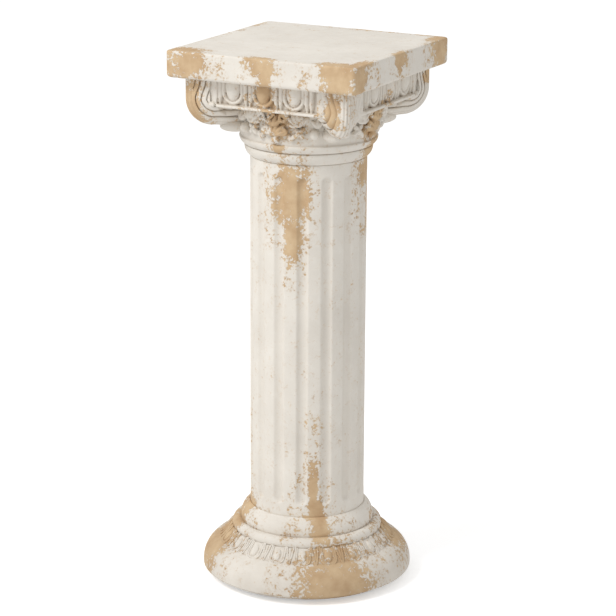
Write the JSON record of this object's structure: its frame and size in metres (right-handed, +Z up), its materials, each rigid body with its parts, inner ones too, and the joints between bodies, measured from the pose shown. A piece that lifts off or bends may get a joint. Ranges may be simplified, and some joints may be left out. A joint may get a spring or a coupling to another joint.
{
  "type": "column pedestal stand",
  "caption": "Classical column pedestal stand with a square top slab, scrolled capital, fluted round shaft and moulded round base, in worn cream paint.",
  "frame": {"origin": "on the floor, at the centre of the round base's underside, on the column's axis", "axes": "+Z up along the column's axis; X and Y square to the sides of the top slab"},
  "size_m": [0.3106, 0.3106, 0.8],
  "materials": {
    "painted_casting": "chalky cream paint, worn through to tan in patches",
    "mortar": "matte mortar",
    "steel": "zinc plated",
    "pad": "matte rubber"
  },
  "bodies": {
    "root": {"top_slab": "painted_casting", "slab_mortar_bed": "mortar", "slab_pins": "steel", "capital": "painted_casting", "neck_mortar_bed": "mortar", "fluted_shaft": "painted_casting", "foot_mortar_bed": "mortar", "round_base": "painted_casting", "tie_rod": "steel", "upper_tie_plate": "steel", "upper_tie_nut": "steel", "lower_tie_plate": "steel", "lower_tie_nut": "steel", "floor_pads": "pad"}
  },
  "joints": []
}
